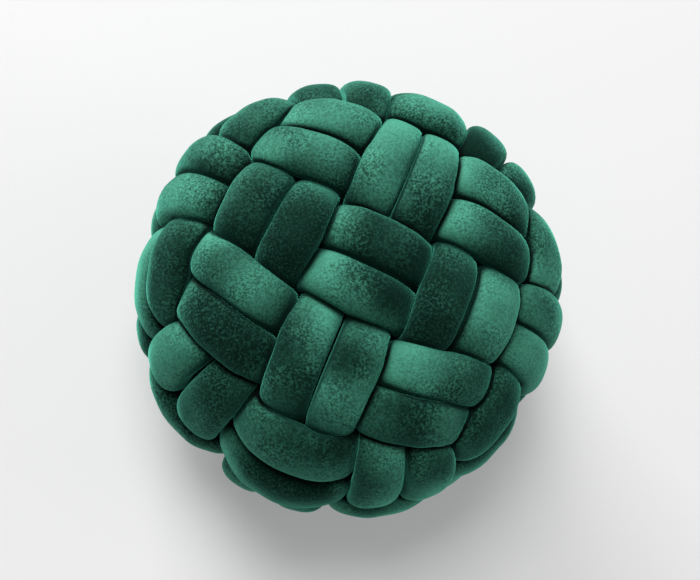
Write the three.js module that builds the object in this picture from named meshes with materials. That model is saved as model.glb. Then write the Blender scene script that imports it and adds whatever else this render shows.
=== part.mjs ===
// Floor pouf woven like a basket from sixteen stuffed plush tubes.
// Each tube is a closed ring, its ends sewn together out of sight under a crossing.
// The tubes lie in pairs: three bands cross x, three cross y, and two run round the side.
// Each pair goes over one pair and under the next, so the tubes hold each other in shape.
// Millimetres, +Z up, standing on z = 0.
import * as THREE from "three";

// The middle layer of the weave is a rounded, squashed box that all the tubes follow.
const LAYER_HALF_WIDTH = 183;
const LAYER_HALF_HEIGHT = 104;
const LAYER_SQUARENESS = 2.6; // 2 would be an ellipsoid; higher gives a flatter top and straighter side

// Places of the bands and of the two tubes in each, as angles seen from the middle.
const TOP_BAND_ANGLE = 30;
const TOP_TUBE_ANGLE = 14.7;
const SIDE_BAND_ANGLE = 22.5;
const SIDE_TUBE_ANGLE = 22;
const CORNER_POWER = 10; // how sharply a band turns where the top meets the side

// The tubes themselves.
const TUBE_HALF_WIDTH = 28.5; // of a stuffed tube with nothing against it
const TUBE_HALF_THICKNESS = 20.5;
const SECTION_SQUARENESS = 2.4; // 2 would be an oval section; higher gives a flatter top and tighter edges
const WEAVE_RISE = 21; // how far a tube lies above or below the middle layer at a crossing
const RISE_FLATNESS = 0.11; // keeps a tube level for longer over a crossing
const RISE_SPACING = 0.12; // evens out the crossings between the flat top and the steep side
const PRESS_POWER = 8; // how tightly a tube fills the room that its neighbours leave
const PAIR_GAP = 0.95; // left by each of two tubes that lie side by side
const CROSSING_GAP = 3; // left by each of two tubes that cross
const FLOOR_DROP = 135; // from the middle down to the floor, which flattens the lowest tubes

// Facets of each tube.
const STEPS = 70;
const SIDES = 8;
const NEIGHBOUR_SECTIONS = 320;
const NEIGHBOUR_REACH = 2.6 * TUBE_HALF_WIDTH;

// Stops along a ray from a tube's middle, with its free skin at 1, for finding where it meets a neighbour.
const FIRST_STOP = 0.2;
const LAST_STOP = 1.4;
const STOP_STEP = 0.1;

// Where the weave is pulled out of its even pattern.
// toward: the crossing, as a direction from the middle in half-widths; shift: millimetres along x, y, z.
const PULL_REACH = 70;
const TOP = Math.tan(THREE.MathUtils.degToRad(TOP_BAND_ANGLE));
const SIDE = Math.tan(THREE.MathUtils.degToRad(SIDE_BAND_ANGLE));
const PULLS = [
  { toward: [0, -TOP, 1], shift: [1, -8, -2] },
  { toward: [-TOP, -TOP, 1], shift: [-8, 2, -2] },
  { toward: [TOP, 0, 1], shift: [5, 2, -1] },
  { toward: [TOP, -TOP, 1], shift: [6, -2, -2] },
  { toward: [TOP, TOP, 1], shift: [0, 12, -3] },
  { toward: [-TOP, TOP, 1], shift: [-1, 13, -4] },
  { toward: [-1, 0, SIDE], shift: [3, 30, 7] },
  { toward: [-1, -TOP, SIDE], shift: [-8, 16, 2] },
  { toward: [-TOP, -1, SIDE], shift: [-13, 10, 5] },
  { toward: [0, -1, SIDE], shift: [10, -1, -3] },
  { toward: [TOP, -1, SIDE], shift: [22, 15, 6] },
  { toward: [1, 0, SIDE], shift: [-4, 25, 10] },
  { toward: [1, -TOP, SIDE], shift: [7, 13, 2] },
  { toward: [-TOP, 1, SIDE], shift: [7, 4, 1] },
  { toward: [TOP, 1, SIDE], shift: [-14, 8, 1] },
  { toward: [TOP, TOP, -1], shift: [7, -6, 0] },
  { toward: [-TOP, 0, -1], shift: [-5, 8, 0] },
  { toward: [0, -1, -SIDE], shift: [9, 0, 4] },
  { toward: [-1, TOP, -SIDE], shift: [0, -10, 3] },
  { toward: [-1, TOP, SIDE], shift: [-1, 2, 0] },
  { toward: [0, 1, SIDE], shift: [0, 7, 0] },
  { toward: [1, TOP, SIDE], shift: [3, 2, 0] },
  { toward: [-TOP, -1, -SIDE], shift: [-5, -8, 0] },
  { toward: [TOP, -1, -SIDE], shift: [4, -9, 0] },
  { toward: [0, -1, 0.1], shift: [0, -13, 2] },
  { toward: [0.7, 0.9, 0.3], shift: [3, 5, 0] },
  { toward: [0.8, -0.85, -0.2], shift: [3, -3, 0] },
];

// Three families of rings, by the axis that they go round. sign is +1 where the middle band starts above.
// waves: how often a ring goes over and under on its way round.
const FAMILIES = [
  { name: "x", axis: 0, bands: [-1, 0, 1], band: TOP_BAND_ANGLE, tube: TOP_TUBE_ANGLE, sign: -1, waves: 5 },
  { name: "y", axis: 1, bands: [-1, 0, 1], band: TOP_BAND_ANGLE, tube: TOP_TUBE_ANGLE, sign: 1, waves: 5 },
  { name: "z", axis: 2, bands: [-1, 1], band: SIDE_BAND_ANGLE, tube: SIDE_TUBE_ANGLE, sign: 1, waves: 6 },
];
const LAYER_SIZE = new THREE.Vector3(LAYER_HALF_WIDTH, LAYER_HALF_WIDTH, LAYER_HALF_HEIGHT);
const VELVET = { color: 0x1f5f47, roughness: 0.9, metalness: 0 };

// Carries a direction out to the middle layer: r^n + z^n = 1 in half-widths.
function layerPoint(direction) {
  const across = Math.hypot(direction.x, direction.y);
  const size = across ** LAYER_SQUARENESS + Math.abs(direction.z) ** LAYER_SQUARENESS;
  return direction.clone().multiplyScalar(size ** (-1 / LAYER_SQUARENESS)).multiply(LAYER_SIZE);
}

// The middle layer's outward normal at a point, the gradient of the same formula.
function layerNormal(point) {
  const unit = point.clone().divide(LAYER_SIZE);
  const across = Math.hypot(unit.x, unit.y) ** (LAYER_SQUARENESS - 2);
  const up = Math.abs(unit.z) ** (LAYER_SQUARENESS - 2);
  return unit.multiply(new THREE.Vector3(across, across, up)).divide(LAYER_SIZE).normalize();
}

const pulls = PULLS.map(({ toward, shift }) => ({
  place: layerPoint(new THREE.Vector3(...toward)),
  shift: new THREE.Vector3(...shift),
}));

// Moves a point by the pulls near it, each fading out with distance.
function pulled(point) {
  const moved = point.clone();
  for (const { place, shift } of pulls) {
    const fade = Math.exp(-point.distanceToSquared(place) / PULL_REACH ** 2);
    moved.addScaledVector(shift, fade);
  }
  return moved;
}

// The centre line of one tube: a ring round its family's axis that rises and falls as it weaves.
class TubeRing extends THREE.Curve {
  constructor(family, band, side) {
    super();
    this.axis = family.axis;
    this.waves = family.waves;
    this.slope = Math.tan(THREE.MathUtils.degToRad(band * family.band + side * family.tube));
    this.sign = family.axis === 2 ? family.sign * -band : family.sign * (-1) ** band;
  }

  // Above the layer is +1, below is -1.
  rise(angle) {
    const fromTop = this.axis === 0 ? Math.PI / 2 - angle : angle;
    const evened = this.axis === 2 ? angle : fromTop + RISE_SPACING * Math.sin(2 * fromTop);
    const phase = this.waves * evened;
    const wave = Math.cos(phase) - RISE_FLATNESS * Math.cos(3 * phase);
    return (this.sign * wave) / (1 - RISE_FLATNESS);
  }

  getPoint(t, target = new THREE.Vector3()) {
    const angle = 2 * Math.PI * t;
    const c = Math.cos(angle);
    const s = Math.sin(angle);
    const corner = (Math.abs(c) ** CORNER_POWER + Math.abs(s) ** CORNER_POWER) ** (1 / CORNER_POWER);
    const direction = new THREE.Vector3();
    direction.setComponent(this.axis, this.slope * corner);
    direction.setComponent((this.axis + 1) % 3, c);
    direction.setComponent((this.axis + 2) % 3, s);
    const onLayer = layerPoint(direction);
    const woven = onLayer.addScaledVector(layerNormal(onLayer), WEAVE_RISE * this.rise(angle));
    return target.copy(pulled(woven));
  }
}

// How full a tube is at an offset from its centre line: 0 there and 1 on its free skin.
function fullness(sideways, outward) {
  const wide = Math.abs(sideways / TUBE_HALF_WIDTH) ** SECTION_SQUARENESS;
  const thick = Math.abs(outward / TUBE_HALF_THICKNESS) ** SECTION_SQUARENESS;
  return (wide + thick) ** (1 / SECTION_SQUARENESS);
}

// The middle and the two directions of a section, square to its centre line.
function sectionAt(curve, along) {
  const centre = curve.getPointAt(along);
  const tangent = curve.getTangentAt(along);
  const outward = layerNormal(centre);
  outward.addScaledVector(tangent, -outward.dot(tangent)).normalize();
  return { centre, outward, sideways: new THREE.Vector3().crossVectors(tangent, outward) };
}

// How full a neighbour is at a point, measured in the nearest of its sections.
function fullnessIn(sections, point) {
  let nearest = sections[0];
  for (const section of sections) {
    if (section.centre.distanceToSquared(point) < nearest.centre.distanceToSquared(point)) nearest = section;
  }
  const step = point.clone().sub(nearest.centre);
  return fullness(step.dot(nearest.sideways), step.dot(nearest.outward));
}

// How full a tube can get along a ray before it meets a neighbour that is as full there.
function roomBeside(sections, centre, ray) {
  let spare = 1;
  for (let stop = FIRST_STOP; stop <= LAST_STOP; stop += STOP_STEP) {
    const before = spare;
    spare = fullnessIn(sections, centre.clone().addScaledVector(ray, stop)) - stop;
    if (spare <= 0) return stop + (STOP_STEP * spare) / (before - spare);
  }
  return LAST_STOP + spare;
}

// The radius of a pressed tube along a ray: the free radius and the room beside each neighbour,
// smoothly the least of them.
function pressedRadius(neighbours, centre, ray) {
  const free = ray.length();
  let sum = free ** -PRESS_POWER;
  for (const { sections, gap } of neighbours) {
    sum += (roomBeside(sections, centre, ray) * free - gap) ** -PRESS_POWER;
  }
  const radius = sum ** (-1 / PRESS_POWER);
  const toFloor = ray.z < 0 ? ((centre.z + FLOOR_DROP) * free) / -ray.z : Infinity;
  return Math.min(radius, toFloor);
}

// One section of a tube as a ring of corners.
function tubeCorners(curve, along, others) {
  const { centre, outward, sideways } = sectionAt(curve, along);
  const near = others
    .map(({ sections, gap }) => ({
      sections: sections.filter((section) => section.centre.distanceTo(centre) < NEIGHBOUR_REACH),
      gap,
    }))
    .filter(({ sections }) => sections.length > 0);
  return Array.from({ length: SIDES }, (_, i) => {
    const turn = (2 * Math.PI * (i + 0.5)) / SIDES;
    const ray = outward.clone().multiplyScalar(Math.cos(turn));
    ray.addScaledVector(sideways, Math.sin(turn)).divideScalar(fullness(Math.sin(turn), Math.cos(turn)));
    const radius = pressedRadius(near, centre, ray);
    return centre.clone().addScaledVector(ray.normalize(), radius);
  });
}

// A closed ring of sections as one surface, two triangles between each pair of corners.
function tubeGeometry(curve, others) {
  const corners = [];
  for (let i = 0; i < STEPS; i += 1) corners.push(...tubeCorners(curve, i / STEPS, others));
  const faces = [];
  for (let i = 0; i < STEPS; i += 1) {
    for (let j = 0; j < SIDES; j += 1) {
      const next = (j + 1) % SIDES;
      const here = i * SIDES;
      const ahead = ((i + 1) % STEPS) * SIDES;
      faces.push(here + j, ahead + next, ahead + j, here + j, here + next, ahead + next);
    }
  }
  const geometry = new THREE.BufferGeometry().setFromPoints(corners).setIndex(faces);
  geometry.computeVertexNormals();
  return geometry;
}

// Every tube with its name: tube_x1 to tube_x6, tube_y1 to tube_y6 and tube_z1 to tube_z4.
function layTubes() {
  return FAMILIES.flatMap((family) =>
    family.bands.flatMap((band, bandIndex) =>
      [-0.5, 0.5].map((side, sideIndex) => ({
        name: `tube_${family.name}${2 * bandIndex + sideIndex + 1}`,
        curve: new TubeRing(family, band, side),
      })),
    ),
  );
}

function buildPouf() {
  const tubes = layTubes();
  const marks = Array.from({ length: NEIGHBOUR_SECTIONS }, (_, i) => i / NEIGHBOUR_SECTIONS);
  const laid = tubes.map(({ curve }) => marks.map((along) => sectionAt(curve, along)));
  const pouf = new THREE.Group();
  tubes.forEach(({ name, curve }, index) => {
    const others = laid
      .map((sections, other) => ({
        sections,
        gap: tubes[other].curve.axis === curve.axis ? PAIR_GAP : CROSSING_GAP,
      }))
      .filter((_, other) => other !== index);
    const mesh = new THREE.Mesh(tubeGeometry(curve, others), new THREE.MeshStandardMaterial(VELVET));
    mesh.name = name;
    pouf.add(mesh);
  });
  const middle = new THREE.Box3().setFromObject(pouf).getCenter(new THREE.Vector3());
  pouf.position.set(-middle.x, -middle.y, FLOOR_DROP);
  return pouf;
}

export default buildPouf();
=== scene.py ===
"""Green velvet floor pouf, woven over and under from stuffed tubes that lie in pairs."""
import math

import bpy
import numpy as np
from mathutils import Matrix, Vector


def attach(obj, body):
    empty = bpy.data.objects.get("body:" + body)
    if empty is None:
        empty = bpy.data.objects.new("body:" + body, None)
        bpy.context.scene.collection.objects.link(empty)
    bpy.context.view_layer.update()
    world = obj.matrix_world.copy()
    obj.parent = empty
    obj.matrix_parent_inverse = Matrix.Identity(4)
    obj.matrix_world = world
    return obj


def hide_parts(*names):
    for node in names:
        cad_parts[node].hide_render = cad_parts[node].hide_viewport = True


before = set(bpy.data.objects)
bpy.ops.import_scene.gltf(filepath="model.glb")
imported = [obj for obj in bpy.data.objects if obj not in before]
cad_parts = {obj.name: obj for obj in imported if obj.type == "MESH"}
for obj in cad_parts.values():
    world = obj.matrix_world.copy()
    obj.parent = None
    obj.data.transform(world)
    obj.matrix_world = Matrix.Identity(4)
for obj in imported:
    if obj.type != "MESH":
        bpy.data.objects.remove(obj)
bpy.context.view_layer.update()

bl_info = {
    "name": "Woven velvet pouf",
    "version": (1, 0, 0),
    "blender": (4, 5, 0),
    "location": "View3D > Sidebar > Pouf",
    "description": "Dresses the packed pouf with pressed velvet tubes, a pale floor and studio light",
    "category": "Object",
}

MM = 0.001
IMAGE_WIDTH = 700
IMAGE_HEIGHT = 580

# Facets of each tube, for the piece and for a rougher one that finds the weave's middle, and points of the
# centre lines, as they are worked out and as their neighbours press against them.
STEPS = 384
SIDES = 40
ROUGH_STEPS = 128
ROUGH_SIDES = 16
RAW_POINTS = 2400
LINE_POINTS = 420

# How the room beside a neighbour is found: the points of its line that are searched each way, how near it
# lies in tube half-widths, the stops along a ray in parts of the free skin, the clearance that is kept,
# how far a tube is pressed in where it has no lumps left, and a least divisor.
PRESS_WINDOW = 26
NEIGHBOUR_REACH = 3.0
LEAST_ROOM = 0.2
MOST_ROOM = 1.4
ROOM_STOPS = 13
CLEARANCE = 0.01
FLAT_FROM = 0.03
TINY = 1e-9

# Uneven stuffing: how many waves it is the sum of, their least and greatest length, and their random seed.
LUMP_WAVES = 9
LUMP_LENGTHS = (25 * MM, 60 * MM)
LUMP_SEED = 11

# Marks on every point of a mesh: its tube's number, so that the pile of neighbouring tubes differs, how
# far its neighbours press it in, which paints shade into the creases, and how steeply its tube climbs,
# which paints light on the pile where the tube comes up. The step is how far apart in the noise two tubes
# lie.
TUBE_NUMBER = "tube_number"
PRESSED_IN = "pressed_in"
CLIMB = "climb"
NAP_MARKS = {TUBE_NUMBER: "Tube", PRESSED_IN: "Pressed In", CLIMB: "Climb"}
TUBE_NOISE_STEP = 17.0

# How noises and marks become patches, ruffles, tufts, lift and the shade painted in creases: a range, and
# what its ends become.
PATCH_RANGE = (0.30, 0.70, 0.22, 0.78)
RUFFLE_RANGE = (0.40, 0.62, 0.24, 0.52)
TUFT_RANGE = (0.30, 0.70, -0.5, 0.5)
LIFT_RANGE = (-0.1, 1.1, 0.0, 1.0)
# Painted shade: how far a point is pressed in becomes how dark its colour is made in the creases.
CREASE_SHADE_RANGE = (0.006, 0.080, 1.0, 0.0)
ROUGHNESS_RANGE = (0.0, 1.0, 0.95, 0.75)

# Each noise's detail and its own place in the noise, the share of the lift that paints light where a tube
# climbs, and how the lift turns into colour and the pile into gloss.
PATCH_DETAIL = 0.3
RUFFLE_DETAIL = 1.0
TUFT_DETAIL = 2.0
DETAIL_ROUGHNESS = 0.65
PATCH_PLACE = 0.0
RUFFLE_PLACE = 3.7
TUFT_PLACE = 8.1
CLIMB_LIGHT_SHARE = 0.28
LIFT_POWER = 2.0
TUFT_STRENGTH = 0.8
PILE_GLOSS = 0.1

# Floor: half its width, its finish, and how much darker its grain is.
FLOOR_HALF = 30.0
FLOOR_ROUGHNESS = 0.8
GRAIN_DETAIL = 2.0
GRAIN_SHADE = 0.96

# Camera: how many half-widths of the pouf it is away, a half-width in metres and in the picture, where the
# pouf's middle is seen, and the sensor's width in millimetres.
CAMERA_AWAY = 7.0
SEEN_HALF_WIDTH = 0.225
SEEN_HALF_PIXELS = 214.0
SEEN_AT = (347.5, 294.5)
SENSOR_WIDTH = 36.0

# Lights look at a point over the floor, and the weak one is turned to the picture's right.
LIGHT_AIM = 0.12
SIDE_TURN = math.radians(90)

# Where the weave is pulled out of its even pattern, as in the solids.
# toward: the place, as a direction from the middle in half-widths; shift: millimetres along x, y, z.
TOP = math.tan(math.radians(30))
SIDE = math.tan(math.radians(22.5))
PULLS = [
    {"toward": (0, -TOP, 1), "shift": (1, -8, -2)},
    {"toward": (-TOP, -TOP, 1), "shift": (-8, 2, -2)},
    {"toward": (TOP, 0, 1), "shift": (5, 2, -1)},
    {"toward": (TOP, -TOP, 1), "shift": (6, -2, -2)},
    {"toward": (TOP, TOP, 1), "shift": (0, 12, -3)},
    {"toward": (-TOP, TOP, 1), "shift": (-1, 13, -4)},
    {"toward": (-1, 0, SIDE), "shift": (3, 30, 7)},
    {"toward": (-1, -TOP, SIDE), "shift": (-8, 16, 2)},
    {"toward": (-TOP, -1, SIDE), "shift": (-13, 10, 5)},
    {"toward": (0, -1, SIDE), "shift": (10, -1, -3)},
    {"toward": (TOP, -1, SIDE), "shift": (22, 15, 6)},
    {"toward": (1, 0, SIDE), "shift": (-4, 25, 10)},
    {"toward": (1, -TOP, SIDE), "shift": (7, 13, 2)},
    {"toward": (-TOP, 1, SIDE), "shift": (7, 4, 1)},
    {"toward": (TOP, 1, SIDE), "shift": (-14, 8, 1)},
    {"toward": (TOP, TOP, -1), "shift": (7, -6, 0)},
    {"toward": (-TOP, 0, -1), "shift": (-5, 8, 0)},
    {"toward": (0, -1, -SIDE), "shift": (9, 0, 4)},
    {"toward": (-1, TOP, -SIDE), "shift": (0, -10, 3)},
    {"toward": (-1, TOP, SIDE), "shift": (-1, 2, 0)},
    {"toward": (0, 1, SIDE), "shift": (0, 7, 0)},
    {"toward": (1, TOP, SIDE), "shift": (3, 2, 0)},
    {"toward": (-TOP, -1, -SIDE), "shift": (-5, -8, 0)},
    {"toward": (TOP, -1, -SIDE), "shift": (4, -9, 0)},
    {"toward": (0, -1, 0.1), "shift": (0, -13, 2)},
    {"toward": (0.7, 0.9, 0.3), "shift": (3, 5, 0)},
    {"toward": (0.8, -0.85, -0.2), "shift": (3, -3, 0)},
]

# Three families of rings, by the axis that they go round. sign: which bands start above and which below;
# waves: how often a ring goes over and under on its way round.
FAMILIES = [
    {"name": "x", "axis": 0, "bands": (-1, 0, 1), "sign": -1, "waves": 5},
    {"name": "y", "axis": 1, "bands": (-1, 0, 1), "sign": 1, "waves": 5},
    {"name": "z", "axis": 2, "bands": (-1, 1), "sign": 1, "waves": 6},
]


class WeaveSizes(bpy.types.PropertyGroup):
    """Sizes of the weave and of its tubes."""

    half_width: bpy.props.FloatProperty(
        name="Layer half width", description="From the middle out to the weave's middle layer, level",
        default=183 * MM, min=0.05, subtype="DISTANCE", unit="LENGTH")
    half_height: bpy.props.FloatProperty(
        name="Layer half height", description="From the middle up to the weave's middle layer",
        default=104 * MM, min=0.03, subtype="DISTANCE", unit="LENGTH")
    squareness: bpy.props.FloatProperty(
        name="Squareness", description="2 is an ellipsoid; higher has a flatter top and straighter side",
        default=2.6, min=2.0, max=6.0)
    top_band_angle: bpy.props.FloatProperty(
        name="Top band angle", description="From one band of the top to the next, seen from the middle",
        default=math.radians(30), subtype="ANGLE", unit="ROTATION")
    top_tube_angle: bpy.props.FloatProperty(
        name="Top tube angle", description="Between the two tubes of a top band, seen from the middle",
        default=math.radians(14.7), subtype="ANGLE", unit="ROTATION")
    side_band_angle: bpy.props.FloatProperty(
        name="Side band angle", description="From level to a band of the side, seen from the middle",
        default=math.radians(22.5), subtype="ANGLE", unit="ROTATION")
    side_tube_angle: bpy.props.FloatProperty(
        name="Side tube angle", description="Between the two tubes of a side band, seen from the middle",
        default=math.radians(22), subtype="ANGLE", unit="ROTATION")
    corner_power: bpy.props.FloatProperty(
        name="Corner sharpness", description="How sharply a band turns where the top meets the side",
        default=10.0, min=2.0)
    tube_half_width: bpy.props.FloatProperty(
        name="Tube half width", description="From a tube's middle to its side, with nothing against it",
        default=28.5 * MM, min=0.005, subtype="DISTANCE", unit="LENGTH")
    tube_half_thickness: bpy.props.FloatProperty(
        name="Tube half thickness", description="From a tube's middle to its top, with nothing against it",
        default=20.5 * MM, min=0.005, subtype="DISTANCE", unit="LENGTH")
    section_power: bpy.props.FloatProperty(
        name="Section squareness", description="2 is an oval section; higher is flatter with tighter edges",
        default=2.4, min=2.0, max=8.0)
    weave_rise: bpy.props.FloatProperty(
        name="Weave rise", description="How far a tube lies above or below the middle layer at a crossing",
        default=21 * MM, min=0.0, subtype="DISTANCE", unit="LENGTH")
    rise_flatness: bpy.props.FloatProperty(
        name="Rise flatness", description="Keeps a tube level for longer over a crossing",
        default=0.11, min=0.0, max=0.2, subtype="FACTOR")
    rise_spacing: bpy.props.FloatProperty(
        name="Rise spacing", description="Evens out the crossings between the flat top and the steep side",
        default=0.12, min=0.0, max=0.3, subtype="FACTOR")
    press_power: bpy.props.FloatProperty(
        name="Press tightness", description="How tightly a tube fills the room that its neighbours leave",
        default=10.0, min=2.0, max=40.0)
    floor_drop: bpy.props.FloatProperty(
        name="Floor drop", description="From the middle down to the floor, which flattens the lowest tubes",
        default=135 * MM, min=0.05, subtype="DISTANCE", unit="LENGTH")
    pull_reach: bpy.props.FloatProperty(
        name="Pull reach", description="How far from its place a pull is felt",
        default=70 * MM, min=0.01, subtype="DISTANCE", unit="LENGTH")
    lump_height: bpy.props.FloatProperty(
        name="Lump height", description="How uneven the stuffing makes a tube",
        default=0.5 * MM, min=0.0, max=0.005, subtype="DISTANCE", unit="LENGTH")


class VelvetLook(bpy.types.PropertyGroup):
    """Colours and pile of the velvet."""

    # The colour goes from lying to raised pile by random patches and tufts, and by light painted where a
    # tube climbs.
    raised_pile: bpy.props.FloatVectorProperty(
        name="Raised pile", description="Colour where the pile stands up towards the light",
        default=(0.070, 0.328, 0.222), size=3, subtype="COLOR")
    lying_pile: bpy.props.FloatVectorProperty(
        name="Lying pile", description="Colour where the pile lies away from the light",
        default=(0.0003, 0.0130, 0.0080), size=3, subtype="COLOR")
    patch_size: bpy.props.FloatProperty(
        name="Patch size", description="Across a patch of pile that is brushed one way",
        default=80 * MM, min=0.001, subtype="DISTANCE", unit="LENGTH")
    ruffle_size: bpy.props.FloatProperty(
        name="Ruffle size", description="Across a patch of pile that is ruffled",
        default=45 * MM, min=0.001, subtype="DISTANCE", unit="LENGTH")
    tuft_size: bpy.props.FloatProperty(
        name="Tuft size", description="Across a tuft in ruffled pile",
        default=2.3 * MM, min=0.0005, subtype="DISTANCE", unit="LENGTH")
    pile_depth: bpy.props.FloatProperty(
        name="Pile depth", description="How deep the pile's tufts are",
        default=0.8 * MM, min=0.0, subtype="DISTANCE", unit="LENGTH")
    sheen: bpy.props.FloatProperty(
        name="Sheen", description="Soft light that the pile's tips catch at a low angle",
        default=0.7, min=0.0, max=1.0, subtype="FACTOR")
    sheen_spread: bpy.props.FloatProperty(
        name="Sheen spread", description="How far in from the edge the sheen reaches",
        default=0.38, min=0.0, max=1.0, subtype="FACTOR")
    sheen_tint: bpy.props.FloatVectorProperty(
        name="Sheen tint", description="Colour of the sheen",
        default=(0.17, 0.95, 0.67), size=3, subtype="COLOR")


class StageLook(bpy.types.PropertyGroup):
    """Floor, light and camera."""

    floor_colour: bpy.props.FloatVectorProperty(
        name="Floor colour", description="Colour of the pale floor",
        default=(0.68, 0.68, 0.68), size=3, subtype="COLOR")
    floor_grain: bpy.props.FloatProperty(
        name="Floor grain", description="Across the faint grain of the floor",
        default=3 * MM, min=0.0005, subtype="DISTANCE", unit="LENGTH")
    floor_glow: bpy.props.FloatProperty(
        name="Floor glow", description="Light from below that keeps the shadow on the floor pale",
        default=0.22, min=0.0)
    key_turn: bpy.props.FloatProperty(
        name="Key turn", description="Turn of the main light from the picture's top towards its right",
        default=math.radians(-20), subtype="ANGLE", unit="ROTATION")
    key_height: bpy.props.FloatProperty(
        name="Key height", description="Angle of the main light above the floor",
        default=math.radians(65), subtype="ANGLE", unit="ROTATION")
    key_power: bpy.props.FloatProperty(
        name="Key power", description="Power of the soft main light",
        default=240.0, min=0.0, unit="POWER")
    low_turn: bpy.props.FloatProperty(
        name="Low turn", description="Turn of the low light from the picture's top towards its right",
        default=math.radians(-20), subtype="ANGLE", unit="ROTATION")
    low_height: bpy.props.FloatProperty(
        name="Low height", description="Angle of the low light and the side light above the floor",
        default=math.radians(17), subtype="ANGLE", unit="ROTATION")
    low_power: bpy.props.FloatProperty(
        name="Low power", description="Power of the low light that skims the pile",
        default=470.0, min=0.0, unit="POWER")
    side_power: bpy.props.FloatProperty(
        name="Side power", description="Power of the weak light from the right",
        default=90.0, min=0.0, unit="POWER")
    light_distance: bpy.props.FloatProperty(
        name="Light distance", description="From the pouf to each light",
        default=6.5, min=0.5, subtype="DISTANCE", unit="LENGTH")
    light_size: bpy.props.FloatProperty(
        name="Light size", description="Across each soft light",
        default=3.25, min=0.01, subtype="DISTANCE", unit="LENGTH")
    fill_strength: bpy.props.FloatProperty(
        name="Fill strength", description="Strength of the white light from all round",
        default=0.15, min=0.0)
    spin: bpy.props.FloatProperty(
        name="Spin", description="Turn of the pouf under the camera about its upright axis",
        default=math.radians(-23.5), subtype="ANGLE", unit="ROTATION")
    lean: bpy.props.FloatProperty(
        name="Lean", description="Lean of the view to the side",
        default=math.radians(9), subtype="ANGLE", unit="ROTATION")
    tilt: bpy.props.FloatProperty(
        name="Tilt", description="Tilt of the view down from straight above",
        default=math.radians(-13), subtype="ANGLE", unit="ROTATION")


def unit(vectors):
    """Each vector divided by its length."""
    return vectors / np.linalg.norm(vectors, axis=-1, keepdims=True)


def layer_size(sizes):
    """Half-widths of the middle layer along x, y and z."""
    return np.array([sizes.half_width, sizes.half_width, sizes.half_height])


def layer_points(directions, sizes):
    """Directions in half-widths carried out to the middle layer: r to the n plus |z| to the n is 1."""
    across = np.hypot(directions[:, 0], directions[:, 1])
    size = across ** sizes.squareness + np.abs(directions[:, 2]) ** sizes.squareness
    return directions * (size ** (-1 / sizes.squareness))[:, None] * layer_size(sizes)


def layer_normals(points, sizes):
    """Outward normals of the middle layer, the gradient of the same formula."""
    scaled = points / layer_size(sizes)
    across = np.hypot(scaled[:, 0], scaled[:, 1]) ** (sizes.squareness - 2)
    up = np.abs(scaled[:, 2]) ** (sizes.squareness - 2)
    slopes = scaled * np.stack([across, across, up], axis=1) / layer_size(sizes)
    return unit(slopes)


def pulled(points, sizes):
    """Points moved by every pull near them: each shift times exp(-(distance / reach) squared)."""
    moved = points.copy()
    for pull in PULLS:
        place = layer_points(np.array([pull["toward"]], float), sizes)
        fade = np.exp(-((points - place) ** 2).sum(axis=1) / sizes.pull_reach ** 2)
        moved += fade[:, None] * np.array(pull["shift"]) * MM
    return moved


def band_slope(family, band, side, sizes):
    """Tangent of a tube's angle from its family's middle plane; side is -0.5 or 0.5 in the pair."""
    if family["name"] == "z":
        return math.tan(band * sizes.side_band_angle + side * sizes.side_tube_angle)
    return math.tan(band * sizes.top_band_angle + side * sizes.top_tube_angle)


def weave_wave(family, band, angle, sizes):
    """Over is +1 and under -1: a cosine less a little of its third harmonic, a wave for two crossings."""
    if family["name"] == "z":
        sign = -band * family["sign"]
        phase = family["waves"] * angle
    else:
        sign = family["sign"] * (-1) ** band
        from_top = math.pi / 2 - angle if family["name"] == "x" else angle
        phase = family["waves"] * (from_top + sizes.rise_spacing * np.sin(2 * from_top))
    wave = np.cos(phase) - sizes.rise_flatness * np.cos(3 * phase)
    return sign * wave / (1 - sizes.rise_flatness)


def ring_line(family, band, side, sizes):
    """Centre line of a tube: a ring round its axis on the middle layer, lifted by its wave, then pulled."""
    angle = np.linspace(0, 2 * math.pi, RAW_POINTS, endpoint=False)
    ahead = np.cos(angle)
    across = np.sin(angle)
    power = sizes.corner_power
    corner = (np.abs(ahead) ** power + np.abs(across) ** power) ** (1 / power)
    axis = family["axis"]
    directions = np.zeros((RAW_POINTS, 3))
    directions[:, axis] = band_slope(family, band, side, sizes) * corner
    directions[:, (axis + 1) % 3] = ahead
    directions[:, (axis + 2) % 3] = across
    points = layer_points(directions, sizes)
    lift = sizes.weave_rise * weave_wave(family, band, angle, sizes)
    return pulled(points + lift[:, None] * layer_normals(points, sizes), sizes)


def evenly(line, count):
    """A closed line taken again at equal steps of its own length."""
    closed = np.concatenate([line, line[:1]])
    steps = np.linalg.norm(np.diff(closed, axis=0), axis=1)
    run = np.concatenate([[0.0], np.cumsum(steps)])
    stops = np.linspace(0, run[-1], count, endpoint=False)
    return np.stack([np.interp(stops, run, closed[:, i]) for i in range(3)], axis=1)


def tube_lines(sizes):
    """Every tube's name and fine centre line, in the order of the families."""
    lines = {}
    for family in FAMILIES:
        for band_index, band in enumerate(family["bands"]):
            for side_index, side in enumerate((-0.5, 0.5)):
                name = f"tube_{family['name']}{2 * band_index + side_index + 1}"
                lines[name] = ring_line(family, band, side, sizes)
    return lines


def line_frames(points, sizes):
    """Outward from the layer and sideways, both square to the line, at each point of a closed line."""
    ahead = unit(np.roll(points, -1, axis=0) - np.roll(points, 1, axis=0))
    outward = layer_normals(points, sizes)
    outward = unit(outward - ahead * (outward * ahead).sum(axis=1, keepdims=True))
    return outward, np.cross(ahead, outward)


def line_climb(points, sizes):
    """Sine of the angle at which a closed line climbs out of the middle layer, at each of its points."""
    ahead = unit(np.roll(points, -1, axis=0) - np.roll(points, 1, axis=0))
    return (ahead * layer_normals(points, sizes)).sum(axis=1)


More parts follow.
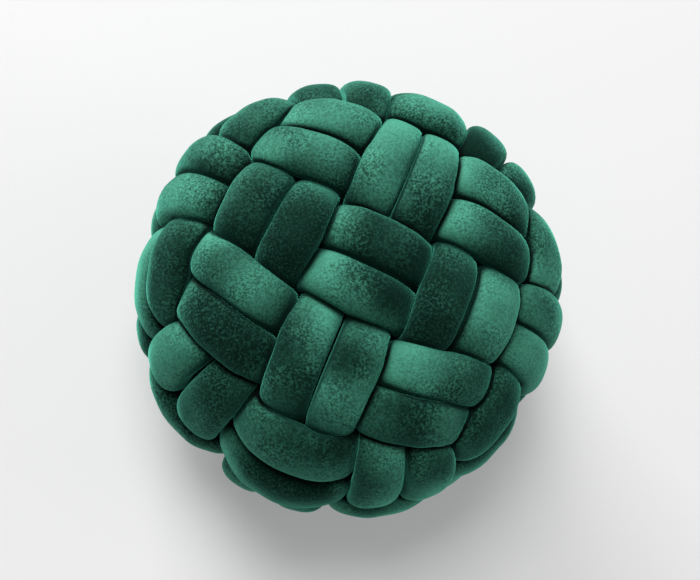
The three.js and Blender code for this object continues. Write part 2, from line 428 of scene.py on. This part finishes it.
def fullness(sideways, outward, sizes):
    """0 on a centre line, 1 on the free skin: (|s / w| to the n plus |u / h| to the n) to the 1/n."""
    power = sizes.section_power
    wide = np.abs(sideways / sizes.tube_half_width) ** power
    thick = np.abs(outward / sizes.tube_half_thickness) ** power
    return (wide + thick) ** (1 / power)


def fullness_in(line, points, centres, sizes):
    """Fullness of points, by section, in the neighbour whose centre line is given.

    Each point is measured from the nearest of the line's points, along that point's own two directions."""
    outward, sideways = line_frames(line, sizes)
    nearest = ((line[None] - centres[:, None]) ** 2).sum(axis=2).argmin(axis=1)
    window = (nearest[:, None] + np.arange(-PRESS_WINDOW, PRESS_WINDOW + 1)) % len(line)
    stretch = line[window]
    apart = (stretch ** 2).sum(axis=2)[:, None] - 2 * points @ stretch.transpose(0, 2, 1)
    chosen = np.take_along_axis(window, apart.argmin(axis=2), axis=1)
    step = points - line[chosen]
    return fullness((step * sideways[chosen]).sum(axis=2), (step * outward[chosen]).sum(axis=2), sizes)


def room_beside(line, centres, rays, sizes):
    """How full a tube can get along each ray before it meets a neighbour that is as full at that point.

    The rays reach the free skin at 1; the first crossing is found between stops along each ray."""
    stops = np.linspace(LEAST_ROOM, MOST_ROOM, ROOM_STOPS)
    sections, sides = rays.shape[:2]
    room = np.full((sections, sides), 2 * MOST_ROOM)
    distance = np.sqrt(((line[None] - centres[:, None]) ** 2).sum(axis=2)).min(axis=1)
    near = np.nonzero(distance < NEIGHBOUR_REACH * sizes.tube_half_width)[0]
    if len(near) == 0:
        return room
    points = centres[near, None, None] + stops[None, None, :, None] * rays[near, :, None]
    other = fullness_in(line, points.reshape(len(near), -1, 3), centres[near], sizes)
    spare = other.reshape(len(near), sides, ROOM_STOPS) - stops
    met = (spare <= 0).argmax(axis=2)[..., None]
    after = np.take_along_axis(spare, met, axis=2)[..., 0]
    before = np.take_along_axis(spare, np.maximum(met - 1, 0), axis=2)[..., 0]
    part = np.where(met[..., 0] > 0, before / np.maximum(before - after, TINY), 1.0)
    step = stops[1] - stops[0]
    crossing = stops[met[..., 0]] - (1 - part) * step
    room[near] = np.where((spare <= 0).any(axis=2), crossing, MOST_ROOM + spare[..., -1])
    return room


def lumps(points, sizes):
    """Uneven stuffing: a sum of fixed waves through space, divided by the root of their number."""
    seeded = np.random.default_rng(LUMP_SEED)
    directions = unit(seeded.normal(size=(LUMP_WAVES, 3)))
    waves = directions * (2 * math.pi / seeded.uniform(*LUMP_LENGTHS, size=(LUMP_WAVES, 1)))
    starts = seeded.uniform(0, 2 * math.pi, size=LUMP_WAVES)
    return sizes.lump_height * np.sin(points @ waves.T + starts).sum(axis=-1) / math.sqrt(LUMP_WAVES)


def pressed_tube(name, lines, sizes, steps=STEPS, sides=SIDES):
    """Surface of one tube: its free skin and the room beside each neighbour, smoothly the least of them.

    With power p the fullness is (1 plus each room, less a clearance, to the -p) to the -1/p. Lumps fade out
    where the tube is pressed in, and the skin is cut by the floor.
    Returns the skin's points and, for each of them, 1 minus the fullness."""
    centres = evenly(lines[name], steps)
    outward, sideways = line_frames(centres, sizes)
    turn = np.linspace(0, 2 * math.pi, sides, endpoint=False)[None, :]
    directions = np.cos(turn)[..., None] * outward[:, None] + np.sin(turn)[..., None] * sideways[:, None]
    rays = directions / fullness(np.sin(turn), np.cos(turn), sizes)[..., None]
    power = sizes.press_power
    total = np.ones(rays.shape[:2])
    for other, line in lines.items():
        if other != name:
            room = room_beside(evenly(line, LINE_POINTS), centres, rays, sizes)
            total += (room - CLEARANCE) ** -power
    full = total ** (-1 / power)
    skin = centres[:, None] + full[..., None] * rays
    free = np.clip(1 - (1 - full) / FLAT_FROM, 0, 1)
    skin = skin + (free * lumps(skin, sizes))[..., None] * directions
    low = skin[..., 2] < -sizes.floor_drop
    from_centre = skin - centres[:, None]
    drop = (-sizes.floor_drop - centres[:, None, 2]) / np.minimum(from_centre[..., 2], -TINY)
    skin = np.where(low[..., None], centres[:, None] + drop[..., None] * from_centre, skin)
    return skin, 1 - full


def ring_faces(steps, sides):
    """Four corners of every face between neighbouring sections, in the order that points it outwards."""
    index = np.arange(steps * sides).reshape(steps, sides)
    ahead = np.roll(index, -1, axis=0)
    corners = [index, np.roll(index, -1, axis=1), np.roll(ahead, -1, axis=1), ahead]
    return np.stack(corners, axis=-1).reshape(-1, 4)


def surface_object(name, grid):
    """A smooth closed mesh from a grid of points that closes in both directions."""
    steps, sides = grid.shape[:2]
    faces = ring_faces(steps, sides)
    mesh = bpy.data.meshes.new(name)
    mesh.vertices.add(steps * sides)
    mesh.vertices.foreach_set("co", grid.astype(np.float32).ravel())
    mesh.loops.add(faces.size)
    mesh.loops.foreach_set("vertex_index", faces.astype(np.int32).ravel())
    mesh.polygons.add(len(faces))
    mesh.polygons.foreach_set("loop_start", np.arange(0, faces.size, 4, dtype=np.int32))
    mesh.polygons.foreach_set("use_smooth", np.ones(len(faces), dtype=bool))
    mesh.update(calc_edges=True)
    if mesh.validate():
        raise RuntimeError(f"{name}: the surface has faulty faces")
    piece = bpy.data.objects.new(name, mesh)
    bpy.context.scene.collection.objects.link(piece)
    return piece


def mark_mesh(mesh, mark, values):
    """Writes a value to every point of a mesh, under a name that its material reads."""
    attribute = mesh.attributes.new(mark, "FLOAT", "POINT")
    attribute.data.foreach_set("value", np.broadcast_to(values, len(mesh.vertices)).astype(np.float32))


def add_node(tree, kind, place, **inputs):
    """A new node at a place in the tree, with the named inputs set; underscores stand for spaces."""
    node = tree.nodes.new(kind)
    node.location = place
    for key, value in inputs.items():
        node.inputs[key.replace("_", " ")].default_value = value
    return node


def nap_noise(group, place, tube, scale, shift, spot, detail):
    """A noise through space that differs from tube to tube, with a shift for a pattern of its own."""
    own = add_node(group, "ShaderNodeMath", (spot[0] - 200, spot[1] - 120))
    own.operation = "MULTIPLY_ADD"
    own.inputs[1].default_value = TUBE_NOISE_STEP
    own.inputs[2].default_value = shift
    group.links.new(tube, own.inputs[0])
    noise = add_node(group, "ShaderNodeTexNoise", spot, Detail=detail, Roughness=DETAIL_ROUGHNESS)
    noise.noise_dimensions = "4D"
    group.links.new(place, noise.inputs["Vector"])
    group.links.new(own.outputs["Value"], noise.inputs["W"])
    group.links.new(scale, noise.inputs["Scale"])
    return noise.outputs["Fac"]


def spread(group, value, spot, ends):
    """A value carried smoothly from one range to another, and kept in it; ends gives both ranges."""
    node = add_node(group, "ShaderNodeMapRange", spot)
    node.interpolation_type = "SMOOTHSTEP"
    for socket, end in zip(("From Min", "From Max", "To Min", "To Max"), ends):
        node.inputs[socket].default_value = end
    group.links.new(value, node.inputs["Value"])
    return node.outputs["Result"]


def combine(group, operation, spot, first, second, third=None):
    """A sum, product or power of values and numbers."""
    node = add_node(group, "ShaderNodeMath", spot)
    node.operation = operation
    for socket, value in zip(node.inputs, (first, second, third)):
        if isinstance(value, (int, float)):
            socket.default_value = value
        elif value is not None:
            group.links.new(value, socket)
    return node.outputs["Value"]


def nap_and_painted_light_group():
    """Node group of brushed and ruffled pile: light and dark patches, tufts in ruffled ones, painted shade
    in creases.

    The pile's lift is patch plus a share of climb, which paints light where a tube comes up, plus ruffle
    times tuft. Its colour goes from lying to raised by a power of the lift, and painted shade darkens it in
    the creases."""
    group = bpy.data.node_groups.new("Velvet nap and painted light", "ShaderNodeTree")
    face = group.interface
    for name in ("Tube", "Pressed In", "Climb", "Patch Scale", "Ruffle Scale", "Tuft Scale"):
        face.new_socket(name, in_out="INPUT", socket_type="NodeSocketFloat")
    for name in ("Raised Pile", "Lying Pile"):
        face.new_socket(name, in_out="INPUT", socket_type="NodeSocketColor")
    face.new_socket("Color", in_out="OUTPUT", socket_type="NodeSocketColor")
    face.new_socket("Roughness", in_out="OUTPUT", socket_type="NodeSocketFloat")
    face.new_socket("Height", in_out="OUTPUT", socket_type="NodeSocketFloat")
    given = add_node(group, "NodeGroupInput", (-1300, 0)).outputs
    put = add_node(group, "NodeGroupOutput", (1000, 0)).inputs
    place = add_node(group, "ShaderNodeTexCoord", (-1300, 300)).outputs["Object"]

    tube = given["Tube"]
    brushed = nap_noise(group, place, tube, given["Patch Scale"], PATCH_PLACE, (-800, 400), PATCH_DETAIL)
    patch = spread(group, brushed, (-550, 400), PATCH_RANGE)
    ruffled = nap_noise(group, place, tube, given["Ruffle Scale"], RUFFLE_PLACE, (-800, 100), RUFFLE_DETAIL)
    ruffle = spread(group, ruffled, (-550, 100), RUFFLE_RANGE)
    standing = nap_noise(group, place, tube, given["Tuft Scale"], TUFT_PLACE, (-800, -200), TUFT_DETAIL)
    tuft = spread(group, standing, (-550, -200), TUFT_RANGE)
    stir = combine(group, "MULTIPLY", (-300, -50), tuft, ruffle)
    # Painted light: a share of the climb makes the pile lighter where a tube comes up and darker where it
    # dives.
    patch_and_climb_light = combine(group, "MULTIPLY_ADD", (-300, 250), given["Climb"], CLIMB_LIGHT_SHARE, patch)
    lift = combine(group, "ADD", (-100, 150), patch_and_climb_light, stir)
    lift = spread(group, lift, (100, 150), LIFT_RANGE)

    colour = add_node(group, "ShaderNodeMix", (550, 200))
    colour.data_type = "RGBA"
    group.links.new(combine(group, "POWER", (320, 250), lift, LIFT_POWER), colour.inputs["Factor"])
    group.links.new(given["Lying Pile"], colour.inputs[6])
    group.links.new(given["Raised Pile"], colour.inputs[7])
    # Painted shade: the colour is darkened where neighbours press the tube in, in the creases.
    shade = add_node(group, "ShaderNodeVectorMath", (780, 200))
    shade.operation = "SCALE"
    group.links.new(colour.outputs[2], shade.inputs[0])
    group.links.new(spread(group, given["Pressed In"], (550, -150), CREASE_SHADE_RANGE), shade.inputs["Scale"])
    group.links.new(shade.outputs["Vector"], put["Color"])
    group.links.new(spread(group, lift, (320, -50), ROUGHNESS_RANGE), put["Roughness"])
    group.links.new(stir, put["Height"])
    return group


def velvet_material(look):
    """Green velvet: the nap group gives colour, with painted shade in the creases and painted light where a
    tube climbs, roughness and tufts; sheen is the pile's own.
    """
    material = bpy.data.materials.get("velvet_green")
    if material:
        return material
    material = bpy.data.materials.new("velvet_green")
    material.use_nodes = True
    tree = material.node_tree
    cloth = tree.nodes["Principled BSDF"]
    nap = add_node(tree, "ShaderNodeGroup", (-500, 200))
    nap.node_tree = nap_and_painted_light_group()
    nap.inputs["Patch Scale"].default_value = 1 / look.patch_size
    nap.inputs["Ruffle Scale"].default_value = 1 / look.ruffle_size
    nap.inputs["Tuft Scale"].default_value = 1 / look.tuft_size
    nap.inputs["Raised Pile"].default_value = (*look.raised_pile, 1)
    nap.inputs["Lying Pile"].default_value = (*look.lying_pile, 1)
    bump = add_node(tree, "ShaderNodeBump", (-250, -200), Strength=TUFT_STRENGTH, Distance=look.pile_depth)
    for row, (mark, socket) in enumerate(NAP_MARKS.items()):
        read = add_node(tree, "ShaderNodeAttribute", (-750, 300 - 200 * row))
        read.attribute_name = mark
        tree.links.new(read.outputs["Fac"], nap.inputs[socket])
    tree.links.new(nap.outputs["Color"], cloth.inputs["Base Color"])
    tree.links.new(nap.outputs["Roughness"], cloth.inputs["Roughness"])
    tree.links.new(nap.outputs["Height"], bump.inputs["Height"])
    tree.links.new(bump.outputs["Normal"], cloth.inputs["Normal"])
    cloth.inputs["Specular IOR Level"].default_value = PILE_GLOSS
    cloth.inputs["Sheen Weight"].default_value = look.sheen
    cloth.inputs["Sheen Roughness"].default_value = look.sheen_spread
    cloth.inputs["Sheen Tint"].default_value = (*look.sheen_tint, 1)
    return material


def lay_tubes(names, scene):
    """Makes the named tubes, centred as the solids are, and puts each in its node's place."""
    sizes = scene.pouf_weave
    lines = tube_lines(sizes)
    velvet = velvet_material(scene.pouf_velvet)
    middle = weave_middle(lines, sizes)
    for name in names:
        skin, pressed = pressed_tube(name, lines, sizes)
        piece = surface_object(f"{name}_velvet", skin + middle)
        mark_mesh(piece.data, TUBE_NUMBER, list(lines).index(name))
        # The pressed-in mark paints shade into the creases; the climb mark paints light where a tube comes
        # up.
        mark_mesh(piece.data, PRESSED_IN, pressed.ravel())
        mark_mesh(piece.data, CLIMB, np.repeat(line_climb(evenly(lines[name], STEPS), sizes), SIDES))
        piece.data.materials.append(velvet)
        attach(piece, "root")
        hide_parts(name)


def weave_middle(lines, sizes):
    """Where the weave's middle lies in the part's frame: the box of all the tubes is over the origin."""
    rough = np.stack([pressed_tube(name, lines, sizes, ROUGH_STEPS, ROUGH_SIDES)[0] for name in lines])
    across = (rough.min(axis=(0, 1, 2)) + rough.max(axis=(0, 1, 2))) / 2
    return np.array([-across[0], -across[1], sizes.floor_drop])


class POUF_OT_top_tubes(bpy.types.Operator):
    """Lays the twelve tubes that cross the top both ways"""

    bl_idname = "pouf.top_tubes"
    bl_label = "Lay the top tubes"

    def execute(self, context):
        names = [f"tube_{axis}{number}" for axis in "xy" for number in range(1, 7)]
        lay_tubes(names, context.scene)
        return {"FINISHED"}


class POUF_OT_side_tubes(bpy.types.Operator):
    """Lays the four tubes that run round the side"""

    bl_idname = "pouf.side_tubes"
    bl_label = "Lay the side tubes"

    def execute(self, context):
        names = [f"tube_z{number}" for number in range(1, 5)]
        lay_tubes(names, context.scene)
        return {"FINISHED"}


def turn_about(axis, angle):
    """A turn by an angle about x, y or z, as a matrix."""
    return Matrix.Rotation(angle, 3, axis)


def view_axes(look):
    """Right, up and back of the camera: the rows of a spin, then a lean, then a tilt."""
    turned = turn_about("X", look.tilt) @ turn_about("Y", look.lean) @ turn_about("Z", look.spin)
    return turned[0].copy(), turned[1].copy(), turned[2].copy()


def add_camera(middle, axes):
    """A camera that sees the pouf's middle where it lies in the picture, from several half-widths away."""
    right, up, back = axes
    focal_pixels = SEEN_HALF_PIXELS * math.sqrt(CAMERA_AWAY ** 2 - 1)
    data = bpy.data.cameras.new("camera")
    data.sensor_width = SENSOR_WIDTH
    data.lens = focal_pixels * SENSOR_WIDTH / IMAGE_WIDTH
    data.shift_x = (IMAGE_WIDTH / 2 - SEEN_AT[0]) / IMAGE_WIDTH
    data.shift_y = (SEEN_AT[1] - IMAGE_HEIGHT / 2) / IMAGE_WIDTH
    camera = bpy.data.objects.new("camera", data)
    turned = Matrix((right, up, back)).transposed().to_4x4()
    camera.matrix_world = Matrix.Translation(middle + back * (CAMERA_AWAY * SEEN_HALF_WIDTH)) @ turned
    bpy.context.scene.collection.objects.link(camera)
    bpy.context.scene.camera = camera


def add_area_light(name, place, aim, size, power):
    """A square light at a place, turned to its aim."""
    data = bpy.data.lights.new(name, "AREA")
    data.size = size
    data.energy = power
    light = bpy.data.objects.new(name, data)
    light.location = place
    light.rotation_euler = (aim - place).to_track_quat("-Z", "Y").to_euler()
    bpy.context.scene.collection.objects.link(light)


def add_fill(strength):
    """Even white light from all round."""
    world = bpy.data.worlds.new("studio")
    world.use_nodes = True
    sky = world.node_tree.nodes["Background"]
    sky.inputs["Color"].default_value = (1, 1, 1, 1)
    sky.inputs["Strength"].default_value = strength
    bpy.context.scene.world = world


def add_soft_light(name, axes, turn, height, power, look):
    """A soft light on the pouf, turned about it from the picture's top and raised above the floor."""
    right, up, _ = axes
    ahead = Vector((up.x, up.y, 0)).normalized()
    aside = Vector((right.x, right.y, 0)).normalized()
    level = ahead * math.cos(turn) + aside * math.sin(turn)
    toward = level * math.cos(height) + Vector((0, 0, math.sin(height)))
    aim = Vector((0, 0, LIGHT_AIM))
    add_area_light(name, aim + toward * look.light_distance, aim, look.light_size, power)


def add_lights(axes, look):
    """A high main light beyond the picture's top, a low one there, a weak one on the right, and a fill."""
    add_soft_light("key", axes, look.key_turn, look.key_height, look.key_power, look)
    add_soft_light("low", axes, look.low_turn, look.low_height, look.low_power, look)
    add_soft_light("side", axes, SIDE_TURN, look.low_height, look.side_power, look)
    add_fill(look.fill_strength)


def floor_material(look):
    """Pale paper with a faint grain, lit a little from below, as on a light table."""
    material = bpy.data.materials.new("pale_floor")
    material.use_nodes = True
    tree = material.node_tree
    paper = tree.nodes["Principled BSDF"]
    place = add_node(tree, "ShaderNodeTexCoord", (-900, 200)).outputs["Object"]
    scale = 1 / look.floor_grain
    grain = add_node(tree, "ShaderNodeTexNoise", (-700, 200), Scale=scale, Detail=GRAIN_DETAIL)
    shade = add_node(tree, "ShaderNodeMix", (-300, 200))
    shade.data_type = "RGBA"
    shade.inputs[6].default_value = (*look.floor_colour, 1)
    shade.inputs[7].default_value = (*[GRAIN_SHADE * channel for channel in look.floor_colour], 1)
    tree.links.new(place, grain.inputs["Vector"])
    tree.links.new(grain.outputs["Fac"], shade.inputs["Factor"])
    tree.links.new(shade.outputs[2], paper.inputs["Base Color"])
    paper.inputs["Roughness"].default_value = FLOOR_ROUGHNESS
    paper.inputs["Emission Color"].default_value = (1, 1, 1, 1)
    paper.inputs["Emission Strength"].default_value = look.floor_glow
    return material


def add_floor(look):
    """A wide pale floor at the pouf's foot."""
    half = FLOOR_HALF
    corners = [(-half, -half, 0), (half, -half, 0), (half, half, 0), (-half, half, 0)]
    mesh = bpy.data.meshes.new("floor")
    mesh.from_pydata(corners, [], [(0, 1, 2, 3)])
    floor = bpy.data.objects.new("floor", mesh)
    bpy.context.scene.collection.objects.link(floor)
    mesh.materials.append(floor_material(look))


class POUF_OT_stage(bpy.types.Operator):
    """Sets the pale floor, the soft studio light and the camera"""

    bl_idname = "pouf.stage"
    bl_label = "Set the stage"

    def execute(self, context):
        look = context.scene.pouf_stage
        sizes = context.scene.pouf_weave
        middle = Vector(weave_middle(tube_lines(sizes), sizes))
        axes = view_axes(look)
        add_camera(middle, axes)
        add_lights(axes, look)
        add_floor(look)
        context.scene.view_settings.view_transform = "Standard"
        return {"FINISHED"}


class POUF_PT_panel(bpy.types.Panel):
    """Sizes, looks and steps of the pouf"""

    bl_label = "Woven pouf"
    bl_idname = "POUF_PT_panel"
    bl_space_type = "VIEW_3D"
    bl_region_type = "UI"
    bl_category = "Pouf"

    def draw(self, context):
        for group in (context.scene.pouf_weave, context.scene.pouf_velvet, context.scene.pouf_stage):
            box = self.layout.box()
            for key in group.__annotations__:
                box.prop(group, key)
        for step in OPERATORS:
            self.layout.operator(step.bl_idname)


GROUPS = {"pouf_weave": WeaveSizes, "pouf_velvet": VelvetLook, "pouf_stage": StageLook}
OPERATORS = (POUF_OT_top_tubes, POUF_OT_side_tubes, POUF_OT_stage)


def register():
    for name, group in GROUPS.items():
        bpy.utils.register_class(group)
        setattr(bpy.types.Scene, name, bpy.props.PointerProperty(type=group))
    for step in OPERATORS:
        bpy.utils.register_class(step)
    bpy.utils.register_class(POUF_PT_panel)


def unregister():
    bpy.utils.unregister_class(POUF_PT_panel)
    for step in reversed(OPERATORS):
        bpy.utils.unregister_class(step)
    for name, group in GROUPS.items():
        delattr(bpy.types.Scene, name)
        bpy.utils.unregister_class(group)


def main():
    register()
    bpy.ops.pouf.stage()
    bpy.ops.pouf.top_tubes()
    bpy.ops.pouf.side_tubes()


if __name__ == "__main__":
    main()
